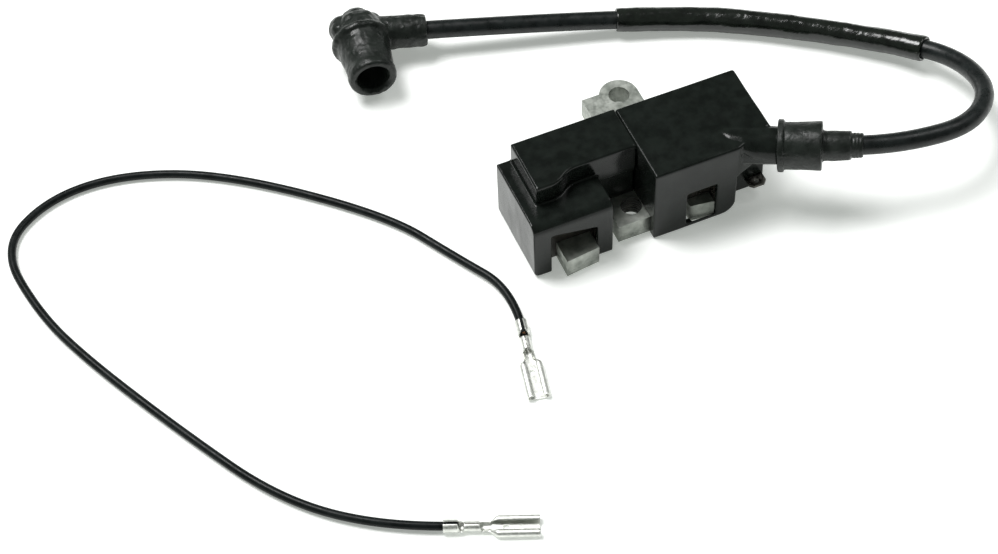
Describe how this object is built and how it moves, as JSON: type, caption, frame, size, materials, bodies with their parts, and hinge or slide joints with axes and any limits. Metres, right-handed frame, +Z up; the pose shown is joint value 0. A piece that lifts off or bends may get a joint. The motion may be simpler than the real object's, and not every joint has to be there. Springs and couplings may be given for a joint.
{
  "type": "ignition coil",
  "caption": "Ignition coil of a small engine: two potted blocks on a laminated core, a high-tension lead with an elbow plug boot, and a loose stop lead.",
  "frame": {"origin": "axis of the front mounting hole, level with the underside of the laminated core", "axes": "+Z up along the mounting holes, +X along the row of the two blocks towards the lead, -Y towards the flywheel"},
  "size_m": [0.2529, 0.168, 0.027],
  "materials": {
    "lamination_steel": "satin",
    "plated_steel": "satin",
    "black_moulding": "satin",
    "epoxy": "gloss",
    "bobbin_nylon": "matte",
    "enamelled_copper": "satin",
    "ferrite": "matte",
    "board": "matte",
    "capacitor_case": "satin",
    "component_case": "matte",
    "copper": "satin",
    "black_rubber": "satin",
    "lead_insulation": "satin",
    "sleeve_plastic": "gloss",
    "tin_plate": "satin"
  },
  "bodies": {
    "coil": {"core_laminations": "lamination_steel", "core_rivets": "plated_steel", "transformer_housing": "black_moulding", "control_housing": "black_moulding", "transformer_potting": "epoxy", "control_potting": "epoxy", "transformer_core": "ferrite", "primary_bobbin": "bobbin_nylon", "secondary_bobbin": "bobbin_nylon", "charge_bobbin": "bobbin_nylon", "primary_winding": "enamelled_copper", "secondary_winding": "enamelled_copper", "charge_winding": "enamelled_copper", "circuit_board": "board", "discharge_capacitor": "capacitor_case", "thyristor": "component_case", "rectifier_diodes": "component_case", "trigger_resistors": "component_case", "ht_terminal_spike": "plated_steel", "ht_jumper": "copper", "ground_strap": "copper", "primary_link": "copper", "stop_terminal": "plated_steel", "ht_lead_end": "lead_insulation", "ht_lead_insulation": "lead_insulation", "ht_lead_conductor": "copper", "lead_sleeve": "sleeve_plastic", "lead_grommet": "black_rubber"},
    "plug_boot": {"plug_boot": "black_rubber", "plug_contact": "plated_steel", "plug_spring": "plated_steel"},
    "stop_lead": {"stop_lead_insulation": "lead_insulation", "stop_lead_conductor": "copper", "stop_receptacle_near": "tin_plate", "stop_receptacle_far": "tin_plate"}
  },
  "joints": [
    {"name": "boot_swivel", "type": "hinge", "parent": "coil", "child": "plug_boot", "pos_m": [-0.0387, 0.0813, 0.0079], "axis": [-0.9563, 0.29, 0.038], "range_deg": [-90, 90]},
    {"name": "stop_lead_lift", "type": "slide", "parent": "coil", "child": "stop_lead", "axis": [0, 0, 1], "range_m": [0, 0.05]}
  ]
}
